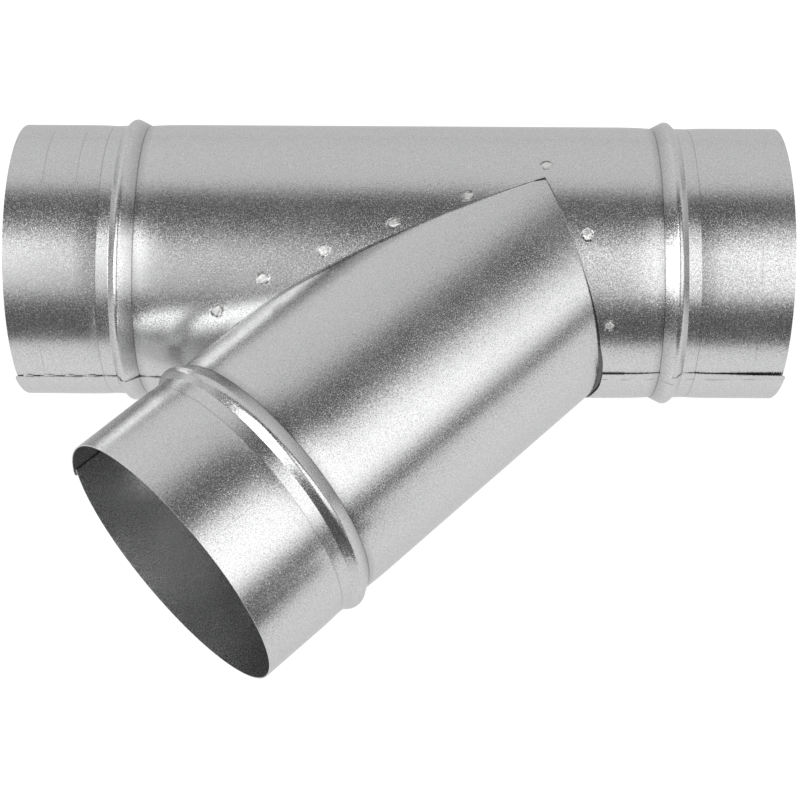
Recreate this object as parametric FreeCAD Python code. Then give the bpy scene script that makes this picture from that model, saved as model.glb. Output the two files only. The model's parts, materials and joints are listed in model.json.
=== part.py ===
import FreeCAD, Part
import os
from math import acos, atan2, cos, degrees, hypot, pi, radians, sin, sqrt, tan

# Frame: millimetres, +X along the run, +Z square to the plane of the two axes, branch toward -X and -Y.
# The origin is the middle of the run's left mouth.

# Sheet
sheet = 0.4
lap_gap = 0.03
seat_gap = 0.03

# Overall sizes: each tube's outside, and the branch's length from where the axes cross
collar_r = 49.35
body_step = 0.25
main_r = collar_r + body_step
branch_r = main_r - sheet - seat_gap
branch_length = 177.5
branch_angle = 45.0

# Collar outline: distances from the mouth, heights from the collar's outside
crease_at = 32.2
groove_at = 36.2
groove_drop = 0.6
crest_at = 40.0
crest_rise = 2.15
crest_round = 2.0
crest_facets = 2
shoulder_at = 45.0
shoulder_drop = 0.45
body_at = 57.0

# Places along the run, to a tenth: a short neck of plain tube stands between each collar and the opening
left_neck = 9.755
right_neck = 7.955
crossing_x = round(body_at + left_neck + main_r / tan(radians(branch_angle / 2)), 1)
tip_x = crossing_x - main_r / tan(radians(branch_angle / 2))
heel_x = crossing_x + main_r * tan(radians(branch_angle / 2))
run_length = round(heel_x + right_neck + body_at, 1)

# Lap seams: angles are measured round each tube from the middle of its seam
main_blend = 50.0
main_under_edge = -6.5
left_edge = -3.6
right_edge = 1.0
right_weld = -4.2
branch_blend = 56.0
branch_over_edge = -6.5
end_skew = 1.0
layer_overlap = 6.0

# Seam welds
stitch_length = 3.6
stitch_width = 1.3
stitch_pitch = 7.4
stitch_sink = 0.12
first_stitch = 4.0

# Opening, saddle flange and spot welds; a spot's place is along and in from the opening's edge lines
opening_gap = 0.15
opening_gap_right = 0.3
opening_flare = 0.6
flange_width = 8.2
flange_tip = 14.0
spot_r = 2.4
spot_floor_r = 1.2
spot_depth = 0.2
spot_sides = 12
left_spots = [(-3.0, 4.9), (28.0, 2.9), (55.0, 3.4), (80.7, 4.5), (102.7, 5.4), (120.3, 4.8)]
right_spots = [(25.3, 5.0), (49.3, 3.8)]

V = FreeCAD.Vector
UP = V(0, 0, 1)
CROSSING = V(crossing_x, 0, 0)
HALF = radians(branch_angle / 2)
ALONG_BRANCH = V(-cos(2 * HALF), -sin(2 * HALF), 0)
BRANCH_SIDE = V(-sin(2 * HALF), cos(2 * HALF), 0)
LEFT_LINE = V(-cos(HALF), -sin(HALF), 0)
RIGHT_LINE = V(sin(HALF), -cos(HALF), 0)
REACH = 8 * main_r


class Tube:
    """One tube's own directions: start point, axis, and the seam's side, from which angles are measured."""

    def __init__(self, start, along, seam):
        self.start = start
        self.along = along
        self.seam = seam

    def out(self, angle):
        a = radians(angle)
        return self.seam * cos(a) + UP * sin(a)

    def point(self, x, r, angle):
        return self.start + self.along * x + self.out(angle) * r

    def wall(self, line, first, last, grow=0.0, shift=V(0, 0, 0)):
        """Sheet whose outside follows the line, grown by a radial amount about a shifted axis."""
        outside = [self.point(x, r + grow, first) + shift for x, r in line]
        inside = [self.point(x, r + grow - sheet, first) + shift for x, r in reversed(line)]
        section = Part.Face(Part.makePolygon(outside + inside + outside[:1]))
        return section.revolve(self.start + shift, self.along * -1, last - first)


MAIN = Tube(V(0, 0, 0), V(1, 0, 0), V(0, -1, 0))
BRANCH = Tube(CROSSING, ALONG_BRANCH, BRANCH_SIDE)


# Collar outline

def touch_angle(foot, centre, r, side):
    """Angle round a circle where a straight line from foot touches it."""
    dx = foot[0] - centre[0]
    dy = foot[1] - centre[1]
    return atan2(dy, dx) + side * acos(r / hypot(dx, dy))


def collar_line(body_r):
    """Outside of a collar from its mouth to the body, as (distance, radius) corners."""
    groove = (groove_at, collar_r - groove_drop)
    shoulder = (shoulder_at, body_r - shoulder_drop)
    centre = (crest_at, collar_r + crest_rise - crest_round)
    start = touch_angle(groove, centre, crest_round, -1) + 2 * pi
    end = touch_angle(shoulder, centre, crest_round, 1)
    crest = []
    for i in range(crest_facets + 1):
        a = start + (end - start) * i / crest_facets
        crest.append((centre[0] + crest_round * cos(a), centre[1] + crest_round * sin(a)))
    return [(0, collar_r), (crease_at, collar_r), groove] + crest + [shoulder, (body_at, body_r)]


def turned(line, length):
    """The same line seen from the other end of a tube of this length."""
    return [(length - x, r) for x, r in reversed(line)]


# Laps: the outer layer leaves the round tube on a shifted axis and rises smoothly to its free edge

def rise_at(edge, far, angle):
    """Radial rise of the outer layer at an angle, from nothing at far to one sheet and the gap at edge."""
    return (sheet + lap_gap) * (1 - cos(radians(angle - far))) / (1 - cos(radians(edge - far)))


def skewed_end(tube, mouth_x, side, far):
    """Block beyond a mouth's end that slants out by end_skew from the angle far to the seam."""
    at_far = tube.point(mouth_x, collar_r, far)
    at_seam = tube.point(mouth_x + side * end_skew, collar_r, 0)
    normal = (at_seam - at_far).cross(tube.out(far / 2))
    if normal.dot(tube.along) * side < 0:
        normal = normal * -1
    block = Part.makeBox(REACH, REACH, REACH, V(-REACH / 2, -REACH / 2, 0))
    block.Placement = FreeCAD.Placement(at_far, FreeCAD.Rotation(UP, normal)).multiply(block.Placement)
    return block


def outer_layer(tube, line, edge, far, side):
    """Outer layer of a lap from far to its free edge; its mouth end runs out past the other layer."""
    mouth = 0 if side < 0 else -1
    mouth_x, mouth_r = line[mouth]
    longer = list(line)
    longer[mouth] = (mouth_x + side * 2 * end_skew, mouth_r)
    grow = (sheet + lap_gap) / (1 - cos(radians(edge - far)))
    first, last = sorted((edge, far))
    wall = tube.wall(longer, first, last, grow, tube.out(far) * -grow)
    return wall.cut(skewed_end(tube, mouth_x, side, far))


# Welds

def stitch(tube, x, angle, low, high):
    """Small upright brick of weld metal on a tube, long along the axis."""
    out = tube.out(angle)
    over = tube.along.cross(out)
    corner = tube.point(x - stitch_length / 2, low, angle) - over * (stitch_width / 2)
    box = Part.makeBox(stitch_length, stitch_width, high - low)
    box.transformShape(FreeCAD.Matrix(
        tube.along.x, over.x, out.x, corner.x,
        tube.along.y, over.y, out.y, corner.y,
        tube.along.z, over.z, out.z, corner.z,
        0, 0, 0, 1))
    return box


def stitch_places(first, last, bead_start, bead_end):
    """Even places for stitches between two distances, left out where the bead runs."""
    places = []
    x = first
    while x < last:
        if not bead_start - stitch_length / 2 < x < bead_end + stitch_length / 2:
            places.append(x)
        x += stitch_pitch
    return places


def spot_dish(centre, out, across):
    """Flat-floored dish that an electrode leaves, with its rim at the centre's level."""
    over = out.cross(across)
    rings = []
    for r, h in ((spot_floor_r, -spot_depth), (2 * spot_r - spot_floor_r, spot_depth)):
        turns = [2 * pi * i / spot_sides for i in range(spot_sides)]
        ring = [centre + out * h + across * (r * cos(t)) + over * (r * sin(t)) for t in turns]
        rings.append(Part.makePolygon(ring + ring[:1]))
    return Part.makeLoft(rings, True, True)


def spot_dishes(spots, line, other, edge):
    """Dishes of a row of spot welds beside one edge line, above and below the plane of the axes."""
    dishes = []
    for along, inset in spots:
        plan = CROSSING + line * along - other * inset
        for side in (1, -1):
            angle = degrees(acos(-plan.y / main_r)) * side
            r = main_r
            if -main_blend < angle < 0:
                r += rise_at(edge, -main_blend, angle)
            dishes.append(spot_dish(MAIN.point(plan.x, r, angle), MAIN.out(angle), MAIN.along))
    return dishes


# The opening's corner between its two edge lines

def prism(plan_edges):
    """Upright block over a closed plan outline."""
    face = Part.Face(Part.Wire(plan_edges))
    face.translate(UP * -REACH)
    return face.extrude(UP * (2 * REACH))


def plan_lines(points):
    return [Part.makeLine(a, b) for a, b in zip(points, points[1:])]


def corner_block(gap_left=0.0, gap_right=0.0, flare=0.0):
    """Upright block over the corner, opened out by a gap on each side and a flare in degrees."""
    apex = CROSSING - RIGHT_LINE * gap_left - LEFT_LINE * gap_right
    turn = radians(flare)
    right = RIGHT_LINE * cos(turn) - LEFT_LINE * sin(turn)
    far = [apex + LEFT_LINE * REACH, apex + (LEFT_LINE + right) * REACH, apex + right * REACH]
    return prism(plan_lines([apex] + far + [apex]))


def flange_block():
    """Upright block over the corner and the flange round it, with the flange's rounded outer corner."""
    left_start = CROSSING - RIGHT_LINE * flange_width
    right_start = CROSSING - LEFT_LINE * flange_width
    middle = CROSSING - (LEFT_LINE + RIGHT_LINE) * (flange_width / sqrt(2))
    far = [right_start + RIGHT_LINE * REACH, CROSSING + (LEFT_LINE + RIGHT_LINE) * REACH,
           left_start + LEFT_LINE * REACH]
    round_corner = Part.Arc(left_start, middle, right_start).toShape()
    return prism([round_corner] + plan_lines([right_start] + far + [left_start]))


# Main tube
left_collar = collar_line(main_r)
right_collar = turned(left_collar, run_length)
round_wall = MAIN.wall(left_collar + right_collar, main_under_edge, 360 - main_blend)

blend_y = main_r * cos(radians(main_blend))
left_end = (crossing_x - blend_y / tan(HALF) + layer_overlap, main_r)
right_start = (crossing_x + blend_y * tan(HALF) - layer_overlap, main_r)
left_layer = outer_layer(MAIN, left_collar + [left_end], left_edge, -main_blend, -1)
right_layer = outer_layer(MAIN, [right_start] + right_collar, right_edge, -main_blend, 1)

main_stitches = []
pockets = []
top = sheet + lap_gap - stitch_sink
for x in stitch_places(first_stitch, tip_x - flange_tip, crease_at, body_at):
    r = collar_r if x < crease_at else main_r
    main_stitches.append(stitch(MAIN, x, left_edge, r - sheet / 2, r + top))
bead_end = run_length - crease_at
rise = rise_at(right_edge, -main_blend, right_weld)
for x in stitch_places(heel_x + stitch_pitch, run_length - stitch_length, run_length - body_at, bead_end):
    r = collar_r if x > bead_end else main_r
    main_stitches.append(stitch(MAIN, x, right_weld, r - sheet / 2, r + rise - sheet / 2))
    pockets.append(stitch(MAIN, x, right_weld, r + rise - stitch_sink, r + rise + sheet))

dishes = spot_dishes(left_spots, LEFT_LINE, RIGHT_LINE, left_edge)
dishes += spot_dishes(right_spots, RIGHT_LINE, LEFT_LINE, right_edge)
opening = corner_block(opening_gap, opening_gap_right, opening_flare)
main_tube = round_wall.fuse([left_layer, right_layer] + main_stitches).cut([opening] + pockets + dishes)

# Branch tube with its saddle flange, folded out to lie inside the main tube
branch_line = [(0, branch_r)] + turned(collar_line(branch_r), branch_length)
round_wall = BRANCH.wall(branch_line, branch_blend, 360)
over_layer = outer_layer(BRANCH, branch_line, branch_over_edge, branch_blend, 1)
branch_stitches = []
acute_s = branch_r / tan(HALF)
weld_angle = branch_over_edge / 2
rise = rise_at(branch_over_edge, branch_blend, weld_angle)
bead_end = branch_length - crease_at
for x in stitch_places(acute_s + stitch_pitch, branch_length - stitch_length, branch_length - body_at, bead_end):
    branch_stitches.append(stitch(BRANCH, x, weld_angle, collar_r - sheet / 2, collar_r + rise - sheet / 2))
pipe = round_wall.fuse([over_layer] + branch_stitches).common(corner_block())

flange_from = max(crossing_x - branch_r / tan(HALF) - flange_tip, body_at)
flange_to = min(crossing_x + branch_r * tan(HALF) + 2 * flange_width, run_length - body_at)
past_top = degrees(2 * flange_width / branch_r)
saddle = MAIN.wall([(flange_from, branch_r), (flange_to, branch_r)], -90 - past_top, 90 + past_top)
flange = saddle.common(flange_block()).cut(corner_block())
branch_tube = pipe.fuse(flange)

os.makedirs("parts", exist_ok=True)
for name, shape in (("main_tube", main_tube), ("branch_tube", branch_tube)):
    shape = shape.removeSplitter()
    solid = max(shape.Solids, key=lambda s: s.Volume)
    print(name, "solids", len(shape.Solids), "valid", shape.isValid(), "volume", round(shape.Volume, 1))
    solid.exportStep("parts/" + name + ".step")
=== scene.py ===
import json

import bmesh
import bpy
from bisect import bisect_right
from math import acos, asin, atan2, cos, degrees, exp, hypot, pi, radians, sin, sqrt, tan
from mathutils import Matrix, Vector, noise


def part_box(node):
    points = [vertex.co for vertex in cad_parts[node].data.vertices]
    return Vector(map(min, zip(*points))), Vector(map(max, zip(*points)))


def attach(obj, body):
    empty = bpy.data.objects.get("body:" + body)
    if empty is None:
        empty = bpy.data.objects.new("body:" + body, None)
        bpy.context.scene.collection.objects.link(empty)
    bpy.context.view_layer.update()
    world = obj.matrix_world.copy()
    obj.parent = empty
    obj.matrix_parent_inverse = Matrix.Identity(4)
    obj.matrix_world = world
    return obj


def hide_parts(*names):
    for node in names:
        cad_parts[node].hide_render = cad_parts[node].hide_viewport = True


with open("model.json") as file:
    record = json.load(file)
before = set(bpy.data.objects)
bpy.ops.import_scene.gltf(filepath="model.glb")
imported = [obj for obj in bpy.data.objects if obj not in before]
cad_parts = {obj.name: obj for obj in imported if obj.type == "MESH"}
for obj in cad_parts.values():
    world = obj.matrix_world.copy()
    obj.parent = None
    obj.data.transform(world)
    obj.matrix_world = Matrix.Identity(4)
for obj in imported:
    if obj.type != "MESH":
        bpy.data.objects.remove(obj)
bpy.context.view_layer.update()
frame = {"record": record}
MM = 0.001

# Sizes read from the frame, in millimetres
mounts = {m["name"]: m for m in frame["record"]["mounts"]}
branch_mouth = Vector(mounts["branch_mouth"]["pos_m"]) / MM
branch_out = Vector(mounts["branch_mouth"]["axis"])
run_length = mounts["run_right"]["pos_m"][0] / MM
branch_angle = atan2(-branch_out.y, -branch_out.x)
crossing_x = branch_mouth.x - branch_mouth.y / tan(branch_angle)
branch_length = -branch_mouth.y / sin(branch_angle)
half = branch_angle / 2
crest_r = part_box("main_tube")[1].z / MM

# Sheet and tube radii
sheet = 0.4
lap_gap = 0.03
seat_gap = 0.03
crest_rise = 2.13
body_step = 0.25
collar_r = crest_r - crest_rise
main_r = collar_r + body_step
branch_r = main_r - sheet - seat_gap

# Collar outline: distances from the mouth, drops and rises from the collar's outside
plain_stops = (0, 8, 16)
waist_at = 25.0
waist_stops = (waist_at, 27.5, 29.5, 31.2, 32.1)
waist_drop = 0.28
crease_at = 32.4
groove_at = 36.9
groove_drop = 0.12
groove_round = 0.3
crest_at = 40.1
crest_round = 2.0
shoulder_at = 45.1
shoulder_drop = 0.45
shoulder_round = 0.2
body_at = 57.0
body_drops = ((48.0, 0.24), (51.0, 0.1), (54.0, 0.03), (body_at, 0.0))
fillet_step = 8
fillet_guard = 0.3

# A pair such as lean_grows is for ramp: where a smooth change starts, and its length, which is negative
# where the change runs backward.

# Lean of the beads toward their mouth, at the seam, by distance from the mouth
bead_lean = 1.4
lean_grows = (8, 20)
lean_dies = (body_at + 9, -14)

# Lap seams, in degrees round each tube from the middle of its seam
main_blend = -50.0
main_under_edge = -6.5
left_edge = -3.6
right_edge = 1.9
right_weld = -2.4
branch_blend = 56.0
branch_over_edge = -2.5
branch_under_edge = 362.0

# End of a rolled sheet near its free edge: how far it runs out, and its clipped corner
end_run = 0.9
end_power = 1.5
end_reach = 12
corner_clip = 0.5
corner_span = 1.6

# Weld beads on the left seam, with none between the two bare distances, and how its edge opens between
# them, by shares of their pitch
stitch_length = 3.7
stitch_width = 1.2
stitch_height = 0.25
stitch_pitch = 7.45
first_stitch = 4.0
stitch_rise = 0.12
stitch_past_edge = 0.5
stitch_bare = (crease_at - 1, body_at - 6)
stitch_tip = 1
open_lift = 0.2
open_starts = (0.2, 0.08)
open_span = 2.5

# Right seam: how its edge lifts away from the bead and at the mouth, and its sunk weld dashes
seam_lift = 0.25
bead_holds = (4, 5)
mouth_lift = 0.5
mouth_opens = (28, -24)
dash_ends = (0.25, -0.06)
dash_shift = 0.6
dash_width = 0.35
dash_sunk = 0.07
dash_dark = 0.5

# Opening: its gaps, which change by the cosine of the angle from the seam's side
gap_left = 0.1
gap_apex = 0.08
gap_right = 0.08
gap_right_low = 0.3
gap_right_seam = 0.6
gap_starts = (0, 0.025)
apex_widens = (0.5, -0.3)
low_widens = (0.6, 0.3)
seam_widens = (0.95, 0.045)
tip_shuts = (0.93, 0.03)

# Saddle flange, the fold between it and the pipe, and its columns as shares of its width
flange_width = 8.2
flange_margin = 0.05
left_shares = (1, 0.8, 0.6, 0.4, 0.2, 0.12, 0.06, 0.03, 0)
right_shares = (0, 0.04, 0.08, 0.15, 0.25, 0.4, 0.6, 0.8, 1)
foot_at = 0.01
foot_reach = 3
fold_far = 9.5
fold_inside = 4
lap_dies = (1, 10)

# Spot welds: places along and in from the opening's edge lines
left_spots = [(-3.0, 4.9), (28.0, 2.9), (55.0, 3.4), (80.7, 4.5), (102.7, 5.4), (120.3, 4.8)]
right_spots = [(25.3, 5.0), (49.3, 3.8)]

# One spot weld: a crater with a low rough button in it, a dark ring painted on its wall as shade, and a burnt
# middle; its ragged parts are noise scales and heights
spot_r = 2.35
spot_depth = 0.2
spot_slope = 0.7
spot_reach = 4
spot_apart = 7
ragged_parts = ((0.7, 0.6), (2.0, 0.3))
button_r = 1.5
button_slope = 0.8
button_share = 0.6
lump_height = 0.14
lump_scale = 1.5
ring_r = 1.95
ring_width = 0.3
ring_dark = 0.9
ring_scale = 0.8
ring_whole = 0.6
burn_r = 1.8
burn_slope = 0.5
burn_share = 0.6

# Painted shade: how dark and how wide it is in the rolled lines, as a painted shadow at the seam's edges, and
# on the flange in the gap
crease_dark = 0.35
crease_width = 0.15
shoulder_dark = 0.65
shoulder_width = 0.35
under_dark = 0.9
under_offset = 0.3
under_width = 0.4
edge_dark = 0.8
gap_dark = 0.85
gap_shade_right = (2.2, -0.4)
gap_shade_low = (0.6, 0.15)
gap_shade_left = (1.3, -0.4)
foot_dark = 0.35
foot_shade_fade = 0.5
shade_fade_above = 0.4

# Roll marks round the collars: distance along the run, and the angles that each spans
SCRATCHES = [(12.4, 86, 122), (24.1, 84, 122), (10.5, 0, 16), (260.6, 47, 62), (261.0, 9, 19)]
scratch_width = 0.35
scratch_dark = 0.25

# Rows and columns of the flat sheets, closer together at the seams, the opening and the spot welds
row_step = 3
main_rows_from = -366
main_lap_from = -48
main_edge_from = -8
branch_edge_to = 4
edge_step = 0.4
open_step = 0.3
last_step = 0.5
flange_step = 1.2
left_columns = 34
right_columns = 26
main_power = 1.4
branch_columns = 24
branch_power = 1.5
spot_refines = (5.5, 3.4)
spot_cuts = 2

SAME = 0.001
UP = Vector((0, 0, 1))
CROSSING = Vector((crossing_x, 0, 0))
# The third rim material is a darker copy of the sheet, painted shade for the edge in the opening's gap
SKIN, CUT, SHADED_EDGE = 0, 1, 2


def smooth(t):
    """Smooth change from 0 at 0 to 1 at 1, level beyond them."""
    t = min(1.0, max(0.0, t))
    return t * t * (3 - 2 * t)


def ramp(value, start, length):
    """Smooth change from 0 at start to 1 at a length from it, backward for a negative length."""
    return smooth((value - start) / length)


def bump(x, centre, width):
    """Bell curve, one high at its centre."""
    return exp(-((x - centre) / width) ** 2)


class Tube:
    """One tube's own directions: start point, axis, and the seam's side, from which angles are measured."""

    def __init__(self, start, along, seam, body_r):
        self.start = start
        self.along = along
        self.seam = seam
        self.body_r = body_r
        self.line = collar_line(body_r)
        self.stops = [x for x, r in self.line]

    def out(self, angle):
        """Direction away from the axis at an angle in degrees."""
        a = radians(angle)
        return self.seam * cos(a) + UP * sin(a)

    def point(self, x, r, angle):
        return self.start + self.along * x + self.out(angle) * r

    def radius(self, from_mouth):
        """Radius of the round sheet's outside at a distance from a mouth."""
        if from_mouth <= 0:
            return collar_r
        if from_mouth >= body_at:
            return self.body_r
        i = bisect_right(self.stops, from_mouth)
        (xa, ra), (xb, rb) = self.line[i - 1], self.line[i]
        return ra + (rb - ra) * (from_mouth - xa) / (xb - xa)


def rounded(corners):
    """Line through (x, r, fillet radius) corners: short chords round each fillet, and points by its ends."""
    line = [corners[0][:2]]
    for before, corner, after in zip(corners, corners[1:], corners[2:]):
        here = Vector(corner[:2])
        back = (Vector(before[:2]) - here).normalized()
        on = (Vector(after[:2]) - here).normalized()
        opening = back.angle(on)
        setback = corner[2] / tan(opening / 2)
        turn = pi - opening
        steps = max(1, round(turn / radians(fillet_step)))
        middle = here + (back + on).normalized() * (corner[2] / sin(opening / 2))
        first = here + back * setback - middle
        side = 1 if first.cross(on) > 0 else -1
        line.append(tuple(here + back * (setback + fillet_guard)))
        for i in range(steps + 1):
            a = side * turn * i / steps
            line.append((middle.x + first.x * cos(a) - first.y * sin(a),
                         middle.y + first.x * sin(a) + first.y * cos(a)))
        line.append(tuple(here + on * (setback + fillet_guard)))
    line.append(corners[-1][:2])
    return line


def collar_line(body_r):
    """Outside of a collar from its mouth to the body, as (distance, radius) points."""
    plain = [(x, collar_r) for x in plain_stops]
    waist = []
    for x in waist_stops:
        waist.append((x, collar_r - waist_drop * ((x - waist_at) / (crease_at - waist_at)) ** 2))
    step = (crease_at, collar_r - waist_drop)
    groove = (groove_at, collar_r - groove_drop)
    shoulder = (shoulder_at, body_r - shoulder_drop)
    centre = (crest_at, collar_r + crest_rise - crest_round)
    rise = asin(crest_round / hypot(centre[0] - groove[0], centre[1] - groove[1]))
    rise += atan2(centre[1] - groove[1], centre[0] - groove[0])
    fall = asin(crest_round / hypot(shoulder[0] - centre[0], shoulder[1] - centre[1]))
    fall += atan2(centre[1] - shoulder[1], shoulder[0] - centre[0])
    run = shoulder[0] - groove[0]
    peak_x = groove[0] + (run * tan(fall) + shoulder[1] - groove[1]) / (tan(rise) + tan(fall))
    peak = (peak_x, groove[1] + (peak_x - groove[0]) * tan(rise))
    ease = [(x, body_r - drop) for x, drop in body_drops]
    corners = [(*groove, groove_round), (*peak, crest_round), (*shoulder, shoulder_round)]
    line = rounded([step, *corners, ease[0]])
    slope = (step[1] - groove[1]) / (groove_at - crease_at)
    after = (crease_at + fillet_guard, step[1] - fillet_guard * slope)
    return plain + waist + line[:1] + [after] + line[1:] + ease[1:]


MAIN = Tube(Vector((0, 0, 0)), Vector((1, 0, 0)), Vector((0, -1, 0)), main_r)
BRANCH = Tube(CROSSING, branch_out, Vector((branch_out.y, -branch_out.x, 0)), branch_r)


# Flat sheets

def flat_sheet(rows):
    """Flat mesh in (distance, angle) from rows of (angle, [runs of distances]); equal points join runs."""
    joined = 1e-6
    bm = bmesh.new()
    previous = None
    for angle, runs in rows:
        made = []
        for run in runs:
            made.append([bm.verts.new((x, angle, 0)) for x in run])
        if len(made) == 2 and all(runs) and abs(runs[0][-1] - runs[1][0]) < joined:
            bm.verts.remove(made[1][0])
            made[1][0] = made[0][-1]
        if previous:
            for old, new in zip(previous, made):
                for a, b, c, d in zip(old, old[1:], new[1:], new):
                    if a and b and c and d:
                        bm.faces.new((a, b, c, d))
        previous = made
    return bm


def refine(bm, places, mm_per_degree, reach, cuts):
    """Divides the flat faces within reach of any of the (distance, angle) places."""
    near = []
    for face in bm.faces:
        c = face.calc_center_median()
        if any(hypot(c.x - x, (c.y - a) * mm_per_degree) < reach for x, a in places):
            near.append(face)
    edges = list({e for f in near for e in f.edges})
    bmesh.ops.subdivide_edges(bm, edges=edges, cuts=cuts, use_grid_fill=True)


def sheet_object(name, parts, extra=None):
    """Sheets from (flat mesh, place, rim) parts, with both faces, and cut edges in the rim's material."""
    weld_reach = 0.002
    sharp_from = 35
    solid = bmesh.new()
    # Darkening per point: painted shade in creases, gaps, lap edges and round spot welds, together with real
    # roll marks and weld dashes
    dirt_and_shade = solid.verts.layers.float.new("dirt_and_shade")
    burnt = solid.verts.layers.float.new("burnt")
    for flat, place, rim_of in parts:
        sides = []
        flat.verts.index_update()
        for depth in (0, 1):
            side = []
            for v in flat.verts:
                point, mark, burn = place(v.co.x, v.co.y, depth)
                made = solid.verts.new(point * MM)
                made[dirt_and_shade] = min(1.0, mark)
                made[burnt] = burn
                side.append(made)
            sides.append(side)
        outer, inner = sides
        for face in flat.faces:
            loop = [v.index for v in face.verts]
            solid.faces.new([outer[i] for i in loop]).smooth = True
            solid.faces.new([inner[i] for i in reversed(loop)]).smooth = True
        for edge in flat.edges:
            kind = rim_of(edge) if edge.is_boundary else None
            if kind is None:
                continue
            a, b = (v.index for v in edge.verts)
            rim = solid.faces.new((outer[a], outer[b], inner[b], inner[a]))
            rim.smooth = True
            rim.material_index = kind
        flat.free()
    bmesh.ops.remove_doubles(solid, verts=solid.verts, dist=weld_reach * MM)
    if extra:
        extra(solid)
    bmesh.ops.recalc_face_normals(solid, faces=solid.faces)
    for edge in solid.edges:
        if len(edge.link_faces) == 2 and edge.calc_face_angle(0) > radians(sharp_from):
            edge.smooth = False
    mesh = bpy.data.meshes.new(name)
    solid.to_mesh(mesh)
    solid.free()
    obj = bpy.data.objects.new(name, mesh)
    bpy.context.scene.collection.objects.link(obj)
    return obj


def spread(first, last, count, power):
    """Distances from first to last, closer together toward last for a power over one."""
    return [first + (last - first) * (1 - (1 - i / count) ** power) for i in range(count + 1)]


def seam_angles(first, last, step):
    """Even angles from first up to, and without, last, about a step apart."""
    count = max(1, round(abs(last - first) / step))
    return [first + (last - first) * i / count for i in range(count)]


# Laps

def lap_rise(angle, edge, far):
    """Rise of the outer layer of a lap, from nothing at far to one sheet and the gap at its free edge."""
    if (angle - far) / (edge - far) <= 0:
        return 0.0
    return (sheet + lap_gap) * (1 - cos(radians(angle - far))) / (1 - cos(radians(edge - far)))


def end_shift(near_seam, to_edge, from_mouth):
    """How far the end of a sheet runs out of the mouth, less the corner that is clipped at its free edge."""
    clipped = corner_clip * smooth(1 - to_edge / corner_span)
    return (end_run * near_seam ** end_power - clipped) * smooth(1 - from_mouth / end_reach)


def from_stitch(from_mouth):
    """Distance to the nearest weld of a seam, as a share of their pitch."""
    along = (from_mouth - first_stitch) / stitch_pitch
    return abs(along - round(along))


def left_seam(from_mouth, angle):
    """(rise, dirt) of the left seam, whose edge opens between its weld beads."""
    opened = ramp(from_stitch(from_mouth), *open_starts)
    return open_lift * opened * smooth(1 - (left_edge - angle) / open_span), 0.0


def right_seam(from_mouth, angle):
    """(rise, dirt) of the right seam, whose edge lifts past a row of sunk weld dashes."""
    mouth = ramp(from_mouth, *mouth_opens)
    lift = seam_lift * ramp(abs(from_mouth - crest_at), *bead_holds) + mouth_lift * mouth
    weld = ramp(from_stitch(from_mouth), *dash_ends)
    weld *= bump(angle, right_weld + dash_shift * mouth, dash_width)
    return lift * ramp(angle, right_weld, right_edge - right_weld) - dash_sunk * weld, dash_dark * weld


# Main tube

def opening_left(angle):
    """Distance along the run of the opening's left edge; its gap closes toward the tip."""
    c = max(0.0, cos(radians(angle)))
    gap = (gap_left + gap_apex * ramp(c, *apex_widens)) * ramp(c, *gap_starts)
    gap *= 1 - ramp(c, *tip_shuts)
    return crossing_x - main_r * c / tan(half) - gap / sin(half)


def opening_right(angle):
    """Distance along the run of the opening's right edge; its gap widens toward the seam."""
    c = max(0.0, cos(radians(angle)))
    gap = gap_right * ramp(c, *gap_starts) + gap_right_low * ramp(c, *low_widens)
    gap += gap_right_seam * ramp(c, *seam_widens)
    return crossing_x + main_r * c * tan(half) + gap / cos(half)


def with_marks(stops):
    """The distances with closer ones added at the roll marks between them."""
    extra = []
    for at, low, high in SCRATCHES:
        if stops[0] < at < stops[-1]:
            extra += [at - scratch_width, at, at + scratch_width]
    return sorted(stops + extra)


def main_rows():
    """Rows of the main tube's flat sheet; those past the left end's free edge have only the right run."""
    left_body = with_marks([x for x, r in MAIN.line])
    right_body = with_marks([run_length - x for x, r in reversed(MAIN.line)])
    angles = [main_under_edge - 360] + list(range(main_rows_from, main_lap_from, row_step))
    angles += seam_angles(main_lap_from, main_edge_from, row_step)
    angles += seam_angles(main_edge_from, left_edge, edge_step) + [left_edge]
    left_last = len(angles)
    angles += seam_angles(left_edge + open_step, right_edge, open_step) + [right_edge]
    rows = []
    for i, angle in enumerate(angles):
        left = left_body[:-1] + spread(body_at, opening_left(angle), left_columns, main_power)
        right = spread(run_length - body_at, opening_right(angle), right_columns, main_power)
        if i >= left_last:
            left = []
        rows.append((angle, [left, right[::-1] + right_body[1:]]))
    return rows


def spot_places():
    """(distance, angle) of every spot weld, above and below the plane of the axes."""
    places = []
    left_line = Vector((-cos(half), -sin(half)))
    right_line = Vector((sin(half), -cos(half)))
    for spots, line, other in ((left_spots, left_line, right_line), (right_spots, right_line, left_line)):
        for along, inset in spots:
            plan = Vector((crossing_x, 0)) + line * along - other * inset
            angle = degrees(acos(-plan.y / main_r))
            places += [(plan.x, -angle), (plan.x, angle - 360)]
    return places


SPOTS = spot_places()
main_degree = radians(main_r)


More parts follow.
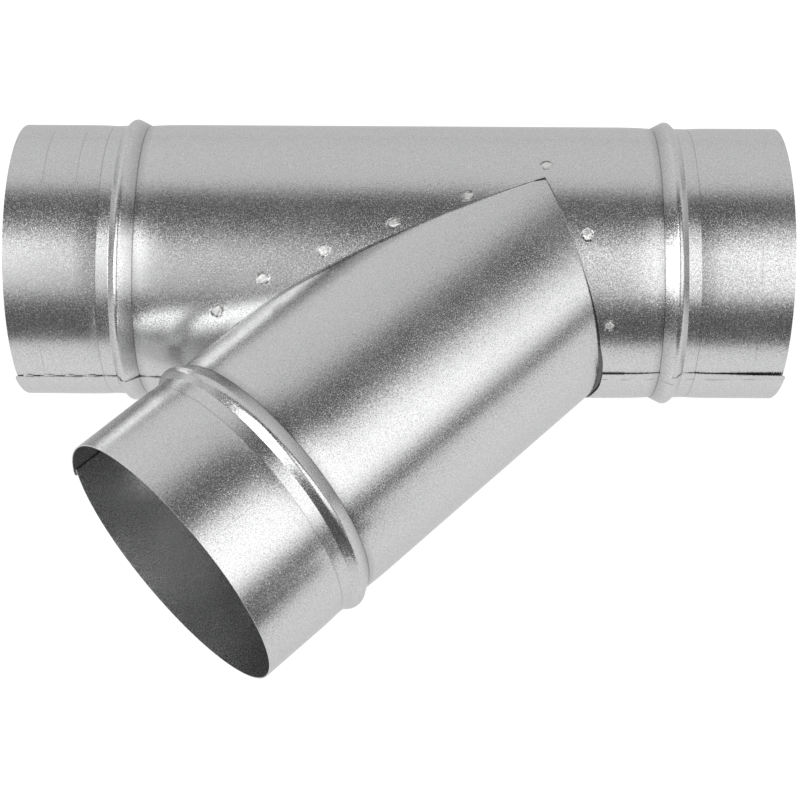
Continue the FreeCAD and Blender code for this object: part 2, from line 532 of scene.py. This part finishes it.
def spot_mark(x, angle):
    """(dent, painted shade ring, burn) of the nearest spot weld, each with a ragged outline of its own."""
    for i, (spot_x, spot_angle) in enumerate(SPOTS):
        dx = x - spot_x
        dy = (angle - spot_angle) * main_degree
        if abs(dx) > spot_reach or abs(dy) > spot_reach:
            continue
        here = Vector((dx, dy, spot_apart * i))
        d = hypot(dx, dy) + sum(height * noise.noise(here * scale) for scale, height in ragged_parts)
        dish = ramp(d, spot_r, -spot_slope)
        button = button_share * ramp(d, button_r, -button_slope)
        lumps = lump_height * noise.noise(here * lump_scale) * dish
        # A dark ring painted on the crater's wall, as shade
        ring = ring_dark * bump(d, ring_r, ring_width) * smooth(ring_whole + noise.noise(here * ring_scale))
        return lumps - spot_depth * dish * (1 - button), ring, burn_share * ramp(d, burn_r, -burn_slope)
    return 0.0, 0.0, 0.0


def collar_shade(from_mouth):
    """Painted shade in the rolled lines of a collar: its crease and shoulder are darkened."""
    crease = crease_dark * bump(from_mouth, crease_at, crease_width)
    return crease + shoulder_dark * bump(from_mouth, shoulder_at, shoulder_width)


def scratch_dirt(x, angle):
    """Dirt in the short marks that the rolls left round the collars."""
    for at, low, high in SCRATCHES:
        if abs(x - at) < scratch_width / 2 and low < angle % 360 < high:
            return scratch_dark
    return 0.0


def main_place(x, angle, depth):
    """(point, darkening, burn) of the main tube's sheet from its flat coordinates; the darkening is painted
    shade in its creases and spot-weld rings, with real roll marks and weld dashes.
    """
    on_left = x < crossing_x
    edge = left_edge if on_left else right_edge
    from_mouth = min(x, run_length - x)
    r = MAIN.radius(from_mouth) + lap_rise(angle, edge, main_blend)
    shift = end_shift(ramp(angle, main_blend, edge - main_blend), edge - angle, from_mouth)
    if on_left:
        rise, dirt_and_shade = left_seam(x, angle)
        x -= shift
    else:
        x += shift
        rise, dirt_and_shade = right_seam(run_length - x, angle)
    dent, mark, burn = spot_mark(x, angle)
    from_mouth = min(x, run_length - x)
    # Painted shade in the collar's creases and the spot-weld rings adds to the real weld dashes and roll
    # marks
    mark += dirt_and_shade + collar_shade(from_mouth) + scratch_dirt(x, angle)
    lean = bead_lean * max(0.0, cos(radians(angle))) ** 2
    lean *= ramp(from_mouth, *lean_grows) * ramp(from_mouth, *lean_dies)
    x += -lean if on_left else lean
    return MAIN.point(x, r + rise + dent - depth * sheet, angle), mark, burn


def main_rim(edge):
    """Bright cut edges at the mouths, and on the opening's right side a darker copy of the sheet as painted
    shade.
    """
    x = edge.verts[0].co.x
    if min(x, run_length - x) < body_at:
        return CUT
    return SKIN if x < crossing_x else SHADED_EDGE


def add_bead(solid, tube, x, r, angle):
    """Drop of weld metal on a tube, long along its axis."""
    rings = 6
    turns = 12
    rows = []
    for i in range(1, rings):
        a = pi * i / rings
        row = []
        for j in range(turns):
            b = 2 * pi * j / turns
            along = stitch_length / 2 * cos(a)
            over = stitch_width / 2 * sin(a) * cos(b)
            up = stitch_height * sin(a) * sin(b)
            row.append(solid.verts.new(tube.point(x + along, r + up, angle + degrees(over / r)) * MM))
        rows.append(row)
    for old, new in zip(rows, rows[1:]):
        for j in range(turns):
            k = (j + 1) % turns
            solid.faces.new((old[j], old[k], new[k], new[j])).smooth = True
    for row, side in ((rows[0], 1), (rows[-1], -1)):
        tip = solid.verts.new(tube.point(x + side * stitch_length / 2, r, angle) * MM)
        for j in range(turns):
            pair = (row[j], row[(j + 1) % turns])
            solid.faces.new((tip,) + (pair if side < 0 else pair[::-1])).smooth = True


def left_beads(solid):
    """Row of weld beads on the left seam, but for its rolled part."""
    x = first_stitch
    while x < crossing_x - main_r / tan(half) - stitch_tip:
        if not stitch_bare[0] < x < stitch_bare[1]:
            add_bead(solid, MAIN, x, MAIN.radius(x) + stitch_rise, left_edge + stitch_past_edge)
        x += stitch_pitch


main_flat = flat_sheet(main_rows())
for spot_refine in spot_refines:
    refine(main_flat, SPOTS, main_degree, spot_refine, spot_cuts)
main_tube = sheet_object("main_tube_sheet", [(main_flat, main_place, main_rim)], left_beads)


# Branch tube

def branch_start(angle, r):
    """Distance from the crossing at which the branch's sheet meets the mitre."""
    c = cos(radians(angle))
    return r * c / tan(half) if c > 0 else -r * c * tan(half)


def branch_rows():
    """Rows of the branch's flat sheet, from its outer free edge round to the one beneath."""
    branch_body = [branch_length - x for x, r in reversed(BRANCH.line)]
    angles = seam_angles(branch_over_edge, branch_edge_to, edge_step)
    angles += list(range(branch_edge_to, 360, row_step))
    angles += [360, branch_under_edge - last_step, branch_under_edge]
    rows = []
    for angle in angles:
        start = branch_start(angle, branch_r)
        body = spread(branch_length - body_at, start, branch_columns, branch_power)[::-1]
        rows.append((angle, [body + branch_body[1:]]))
    return rows


def branch_place(s, angle, depth):
    """(point, painted shade, burn) of the branch's sheet; its lap dies at the mitre, and its inside folds in
    there. Shade is painted in its rolled lines, as a shadow beside the inner lap's edge, and on that free
    edge.
    """
    from_mouth = branch_length - s
    r = BRANCH.radius(from_mouth)
    start = branch_start(angle, branch_r)
    at_mitre = smooth(1 - (s - start) / fold_far)
    rise = 0.0
    if angle < branch_blend:
        rise = lap_rise(angle, branch_over_edge, branch_blend)
        rise *= 1 - at_mitre * ramp(angle, *lap_dies)
        near_seam = ramp(angle, branch_blend, branch_over_edge - branch_blend)
        s += end_shift(near_seam, angle - branch_over_edge, from_mouth)
    if depth:
        fade = smooth(1 - (s - start) / fold_inside)
        s += (branch_start(angle, branch_r - sheet) - start) * fade
    # Painted shade in the rolled lines; inside, a painted shadow beside the under sheet's edge, and the free
    # edge itself painted dark
    mark = collar_shade(branch_length - s)
    if depth:
        mark += under_dark * bump(angle, branch_under_edge - 360 + under_offset, under_width)
    if angle >= branch_under_edge:
        mark = edge_dark
    return BRANCH.point(s, r + rise - depth * sheet, angle), mark, 0.0


def feet(angle):
    """Distances along the run at which the pipe's wall meets the flange, left and right."""
    c = max(0.0, cos(radians(angle)))
    return crossing_x - branch_r * c / tan(half), crossing_x + branch_r * c * tan(half)


def flange_rows():
    """Band that lies inside the main tube beside the opening and round its top corner."""
    top = degrees(asin((flange_width - flange_margin) / branch_r))
    beyond = seam_angles(90, 90 + top, flange_step) + [90 + top]
    angles = [-a for a in reversed(beyond)] + list(range(row_step - 90, 90, row_step)) + beyond
    rows = []
    for angle in angles:
        y = -branch_r * cos(radians(angle))
        left = crossing_x + y / tan(half) - flange_width / sin(half)
        right = crossing_x - y * tan(half) + flange_width / cos(half)
        if y > -flange_width:
            reach = sqrt(max(0.0, flange_width ** 2 - y ** 2))
            if y > flange_width * cos(half):
                left = crossing_x - reach
            if y > flange_width * sin(half):
                right = crossing_x + reach
        left = max(left, body_at)
        left_foot, right_foot = feet(angle)
        left_run = [left_foot - share * (left_foot - left) for share in left_shares]
        right_run = [right_foot + share * (right - right_foot) for share in right_shares]
        rows.append((angle, [left_run, right_run]))
    return rows


def flange_place(x, angle, depth):
    """(point, painted shade, burn) of the flange, whose inside runs on to the pipe's inside at its foot;
    shade is painted where the flange shows in the gap.
    """
    c = max(0.0, cos(radians(angle)))
    left_foot, right_foot = feet(angle)
    if depth and c > 0:
        if x <= left_foot + foot_at:
            x += sheet * c / tan(half) * smooth(1 - (left_foot - x) / foot_reach)
        if x >= right_foot - foot_at:
            x -= sheet * c * tan(half) * smooth(1 - (x - right_foot) / foot_reach)
    # Painted shade where the flange shows in the gap, lighter close to the pipe's foot toward the seam's side
    if x > crossing_x:
        mark = ramp(x - right_foot, *gap_shade_right) * ramp(c, *gap_shade_low)
    else:
        past = left_foot - x
        mark = ramp(past, *gap_shade_left) * (1 - ramp(c, *tip_shuts))
        mark *= foot_dark + (1 - foot_dark) * smooth(past / foot_shade_fade + 1 - c / shade_fade_above)
    return MAIN.point(x, branch_r - depth * sheet, angle), gap_dark * mark, 0.0


def pipe_rim(edge):
    """The pipe's round part grows out of the flange, so it has no cut edge there."""
    at_mitre = all(abs(v.co.x - branch_start(v.co.y, branch_r)) < SAME for v in edge.verts)
    if not at_mitre:
        return CUT
    return SKIN if min(v.co.y for v in edge.verts) < branch_blend else None


def flange_rim(edge):
    """The flange has a cut edge all round, and at its foot only where the pipe's lap stands off it."""
    for v in edge.verts:
        off_foot = min(abs(v.co.x - foot) for foot in feet(v.co.y)) > SAME
        if off_foot or cos(radians(v.co.y)) <= 0:
            return SKIN
    on_left = all(v.co.x < crossing_x + SAME for v in edge.verts)
    return SKIN if on_left and 0 <= min(v.co.y for v in edge.verts) < branch_blend else None


branch_flat = flat_sheet(branch_rows())
flange_flat = flat_sheet(flange_rows())
branch_tube = sheet_object("branch_tube_sheet", [
    (branch_flat, branch_place, pipe_rim), (flange_flat, flange_place, flange_rim)])


# Materials

class Nodes:
    """Short calls for building a node tree."""

    def __init__(self, tree):
        tree.nodes.clear()
        self.tree = tree

    def new(self, kind, **inputs):
        node = self.tree.nodes.new(kind)
        for name, value in inputs.items():
            node.inputs[name.replace("_", " ")].default_value = value
        return node

    def link(self, source, target):
        self.tree.links.new(source, target)

    def fill(self, socket, value):
        if isinstance(value, (int, float, tuple)):
            socket.default_value = value
        else:
            self.link(value, socket)

    def math(self, operation, *values):
        node = self.tree.nodes.new("ShaderNodeMath")
        node.operation = operation
        for socket, value in zip(node.inputs, values):
            self.fill(socket, value)
        return node.outputs[0]

    def vector(self, operation, *values):
        node = self.tree.nodes.new("ShaderNodeVectorMath")
        node.operation = operation
        for socket, value in zip(node.inputs, values):
            self.fill(socket, value)
        return node.outputs[0]

    def step(self, value, low, high, start=0.0, end=1.0):
        """Smooth change from start to end as value goes from low to high."""
        node = self.tree.nodes.new("ShaderNodeMapRange")
        node.interpolation_type = "SMOOTHSTEP"
        for name, number in (("From Min", low), ("From Max", high), ("To Min", start), ("To Max", end)):
            node.inputs[name].default_value = number
        self.link(value, node.inputs["Value"])
        return node.outputs[0]

    def blend(self, a, b, amount):
        """a where amount is 0 and b where it is 1."""
        node = self.tree.nodes.new("ShaderNodeMix")
        for name, value in (("Factor", amount), ("A", a), ("B", b)):
            self.fill(node.inputs[name], value)
        return node.outputs["Result"]

    def tinted(self, colour, other, amount):
        """colour where amount is 0 and the fixed other where it is 1."""
        node = self.tree.nodes.new("ShaderNodeMix")
        node.data_type = "RGBA"
        node.inputs["B"].default_value = other
        self.link(colour, node.inputs["A"])
        self.link(amount, node.inputs["Factor"])
        return node.outputs["Result"]

    def layer(self, name):
        """The mesh's own float layer of that name."""
        node = self.tree.nodes.new("ShaderNodeAttribute")
        node.attribute_name = name
        return node.outputs["Fac"]

    def noise(self, place, scale, detail):
        node = self.new("ShaderNodeTexNoise", Scale=scale, Detail=detail)
        self.link(place, node.inputs["Vector"])
        return node


# Zinc coating: scale and detail of its noises, and what they do to tint, gloss and tilt
GRAIN = (2300, 1.5)
FLAKE = (2700, 0)
CLOUD = (45, 4)
TINTS = ((0.35, 0.87), (0.65, 1.13))
CLOUD_EDGES = (0.3, 0.7)
CLOUD_ROUGH = 0.02
FLAKE_EDGES = (0.5, 0.68)
FLAKE_ROUGH = 0.48
FLAKE_SHARE = 0.6
FLAKE_TILT = 3.5
BURNT_ROUGH = 0.6
BURNT_METAL = (1, 1, 0.98, 1)
# Dark colour for that darkening: painted shade in creases, gaps, lap edges and spot-weld rings, and real roll
# marks and weld dashes
DIRT_AND_SHADE = (0.05, 0.05, 0.05, 1)


def galvanised(name, tone, rough, speckle):
    """Zinc-coated sheet: fine speckle that tilts and tints it, cloudy gloss, and a darkening layer that holds
    painted shade in its creases, gaps, lap edges and round its spot welds, with real roll marks and weld
    dashes.
    """
    material = bpy.data.materials.new(name)
    material.use_nodes = True
    n = Nodes(material.node_tree)
    out = n.new("ShaderNodeOutputMaterial")
    shader = n.new("ShaderNodeBsdfPrincipled", Metallic=1.0, Specular_Tint=(0.8, 0.8, 0.8, 1))
    n.link(shader.outputs[0], out.inputs[0])
    place = n.new("ShaderNodeTexCoord").outputs["Object"]
    grain = n.noise(place, *GRAIN)
    flake = n.noise(place, *FLAKE)
    cloud = n.noise(place, *CLOUD)
    burnt = n.layer("burnt")

    tint = n.new("ShaderNodeValToRGB")
    for element, (position, level) in zip(tint.color_ramp.elements, TINTS):
        element.position = position
        element.color = [c * level for c in tone] + [1]
    n.link(grain.outputs["Fac"], tint.inputs["Fac"])
    metal = n.tinted(tint.outputs["Color"], BURNT_METAL, burnt)
    # The base colour darkens by that layer, which paints shade as well as real marks
    n.link(n.tinted(metal, DIRT_AND_SHADE, n.layer("dirt_and_shade")), shader.inputs["Base Color"])

    gloss = n.step(cloud.outputs["Fac"], *CLOUD_EDGES, rough - CLOUD_ROUGH, rough + CLOUD_ROUGH)
    speckled = n.blend(gloss, FLAKE_ROUGH, n.step(flake.outputs["Fac"], *FLAKE_EDGES, 0.0, FLAKE_SHARE))
    n.link(n.blend(speckled, BURNT_ROUGH, burnt), shader.inputs["Roughness"])

    wave = n.new("ShaderNodeBump", Strength=0.12, Distance=0.0004)
    n.link(cloud.outputs["Fac"], wave.inputs["Height"])
    steep = n.step(flake.outputs["Fac"], *FLAKE_EDGES, speckle, speckle * FLAKE_TILT)
    tilt = n.vector("MULTIPLY", n.vector("SUBTRACT", grain.outputs["Color"], (0.5, 0.5, 0.5)), steep)
    n.link(n.vector("NORMALIZE", n.vector("ADD", wave.outputs[0], tilt)), shader.inputs["Normal"])
    return material


materials = (
    galvanised("galvanised_skin", tone=(0.66, 0.663, 0.662), rough=0.23, speckle=0.16),
    galvanised("cut_edge", tone=(0.75, 0.75, 0.75), rough=0.35, speckle=0.2),
    # A darker copy of the sheet: painted shade on the opening's edge
    galvanised("opening_edge_shaded", tone=(0.32, 0.32, 0.32), rough=0.45, speckle=0.2),
)
for obj, node in ((main_tube, "main_tube"), (branch_tube, "branch_tube")):
    for sheet_material in materials:
        obj.data.materials.append(sheet_material)
    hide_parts(node)
    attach(obj, "root")


# World: levels that the metal mirrors; they change by degrees up from the front horizon, over the top and
# down behind, and the sweep behind also changes from right to left

BACK = 0.73
BACK_LEFT = 0.8
DARK = 0.09
BETWEEN = 0.304
LEFT_BOX = 3.45
RIGHT_BOX = 1.34
OWN_LIGHT = 0.8
HORIZON_ENDS = (10, 34)
OVERHEAD_STARTS = (62, 76)
SWEEP_STARTS = (106, 122)
SWEEP_LEFT = (-0.15, -0.4)
BOX_FOOT = (20, 35)
FOOT_SLOPE = 0.25
CROWN_SOFT = 8


def studio_world():
    """White sweep with two tall soft boxes in front, and dark gaps at the front horizon and overhead."""
    world = bpy.data.worlds.new("studio")
    bpy.context.scene.world = world
    world.use_nodes = True
    n = Nodes(world.node_tree)
    place = n.new("ShaderNodeTexCoord")
    split = n.new("ShaderNodeSeparateXYZ")
    n.link(place.outputs["Generated"], split.inputs[0])
    x, y, z = split.outputs
    front = n.math("MULTIPLY", y, -1.0)
    pitch = n.math("DEGREES", n.math("ARCTAN2", z, front))
    azimuth = n.math("DEGREES", n.math("ARCTAN2", x, front))
    elevation = n.math("DEGREES", n.math("ARCSINE", z))

    level = n.step(pitch, *HORIZON_ENDS, DARK, BETWEEN)
    level = n.blend(level, DARK, n.step(pitch, *OVERHEAD_STARTS))
    level = n.blend(level, n.step(x, *SWEEP_LEFT, BACK, BACK_LEFT), n.step(pitch, *SWEEP_STARTS))

    def soft_box(near, full, fall, end, crown, climb):
        """Lit share of a soft box between azimuths; away from the middle it reaches lower and higher."""
        aside = n.math("MULTIPLY", n.math("ABSOLUTE", azimuth), FOOT_SLOPE)
        foot = n.step(n.math("ADD", elevation, aside), *BOX_FOOT)
        leaning = n.math("SUBTRACT", pitch, n.math("MULTIPLY", n.math("ABSOLUTE", x), climb))
        top = n.step(leaning, crown + CROWN_SOFT, crown - CROWN_SOFT)
        across = n.math("MULTIPLY", n.step(azimuth, near, full), n.step(azimuth, end, fall))
        return n.math("MULTIPLY", across, n.math("MULTIPLY", foot, top))

    right_box = soft_box(near=1, full=21, fall=77, end=90, crown=43, climb=182.0)
    left_box = soft_box(near=-1, full=-62, fall=-66, end=-84, crown=24, climb=180.0)
    level = n.blend(level, RIGHT_BOX, right_box)
    level = n.blend(level, LEFT_BOX, left_box)

    rays = n.new("ShaderNodeLightPath")
    level = n.blend(level, OWN_LIGHT, rays.outputs["Is Diffuse Ray"])
    back = n.new("ShaderNodeBackground", Color=(1, 1, 1, 1))
    out = n.new("ShaderNodeOutputWorld")
    n.link(n.blend(level, 1.0, rays.outputs["Is Camera Ray"]), back.inputs["Strength"])
    n.link(back.outputs[0], out.inputs[0])


# Floor: half outline in metres, front to back, with the near edge off centre, and its levels

FLOOR_FRONT = -0.24
FLOOR_NEAR = (-0.1, 0.35)
FLOOR_WING = -0.6
FLOOR_REACH = 0.9
FLOOR_BACK = 8.0
FLOOR_SPREAD = 5
FLOOR_GAP = 0.0005
FLOOR_FADE = (0.02, 0.2)
FLOOR_SHOWN = (0.91, 0.78)


def white_floor():
    """Floor that ends in front of the fitting, white to the camera and in the metal, with a faint shadow."""
    bm = bmesh.new()
    left, right = FLOOR_NEAR
    far = FLOOR_REACH * FLOOR_SPREAD
    corners = [(-FLOOR_REACH, FLOOR_WING), (left, FLOOR_FRONT), (right, FLOOR_FRONT),
               (FLOOR_REACH, FLOOR_WING), (far, FLOOR_BACK), (-far, FLOOR_BACK)]
    bm.faces.new([bm.verts.new((x, y, -crest_r * MM - FLOOR_GAP)) for x, y in corners])
    data = bpy.data.meshes.new("floor")
    bm.to_mesh(data)
    bm.free()
    floor = bpy.data.objects.new("floor", data)
    bpy.context.scene.collection.objects.link(floor)
    material = bpy.data.materials.new("floor_white")
    material.use_nodes = True
    n = Nodes(material.node_tree)
    out = n.new("ShaderNodeOutputMaterial")
    shown = n.new("ShaderNodeEmission")
    place = n.new("ShaderNodeTexCoord")
    split = n.new("ShaderNodeSeparateXYZ")
    n.link(place.outputs["Object"], split.inputs[0])
    n.link(n.step(split.outputs[1], *FLOOR_FADE, *FLOOR_SHOWN), shown.inputs["Strength"])
    lit = n.new("ShaderNodeBsdfDiffuse", Color=(0.3, 0.3, 0.3, 1))
    own = n.new("ShaderNodeEmission", Strength=0.85)
    both = n.new("ShaderNodeAddShader")
    n.link(lit.outputs[0], both.inputs[0])
    n.link(own.outputs[0], both.inputs[1])
    rays = n.new("ShaderNodeLightPath")
    seen = n.math("MAXIMUM", rays.outputs["Is Glossy Ray"], rays.outputs["Is Transmission Ray"])
    mix = n.new("ShaderNodeMixShader")
    n.link(seen, mix.inputs[0])
    n.link(both.outputs[0], mix.inputs[1])
    n.link(shown.outputs[0], mix.inputs[2])
    n.link(mix.outputs[0], out.inputs[0])
    data.materials.append(material)


def upright_lamp(name, azimuth, distance, low, high, width, level):
    """Tall soft box that faces the fitting's middle; azimuth runs from the front toward the right."""
    a = radians(azimuth)
    away = Vector((sin(a), -cos(a), 0))
    middle = Vector((0.14, -0.03, (low + high) / 2))
    data = bpy.data.lights.new(name, "AREA")
    data.shape = "RECTANGLE"
    data.size = width
    data.size_y = high - low
    data.energy = level * pi * width * (high - low)
    lamp = bpy.data.objects.new(name, data)
    lamp.location = middle + away * distance
    lamp.rotation_euler = away.to_track_quat("Z", "Y").to_euler()
    bpy.context.scene.collection.objects.link(lamp)


def add_camera(place, forward, right, lens, sensor):
    """Camera at a place in millimetres, whose right-hand direction is made square to its forward one."""
    data = bpy.data.cameras.new("camera")
    data.lens = lens
    data.sensor_width = sensor
    camera = bpy.data.objects.new("camera", data)
    forward = Vector(forward).normalized()
    right = Vector(right)
    right = (right - forward * right.dot(forward)).normalized()
    turn = Matrix((right, right.cross(forward), -forward)).transposed().to_4x4()
    camera.matrix_world = Matrix.Translation(Vector(place) * MM) @ turn
    bpy.context.scene.collection.objects.link(camera)
    bpy.context.scene.camera = camera


studio_world()
white_floor()
upright_lamp("soft_right", azimuth=42, distance=1.0, low=0.42, high=2.4, width=1.25, level=0.3)
add_camera(place=(143.3, -403.0, 540.3), forward=(-0.0102, 0.5355, -0.8445), right=(0.9999, 0.0117, -0.0046),
           lens=81.88, sensor=36)
bpy.context.scene.view_settings.view_transform = "Standard"
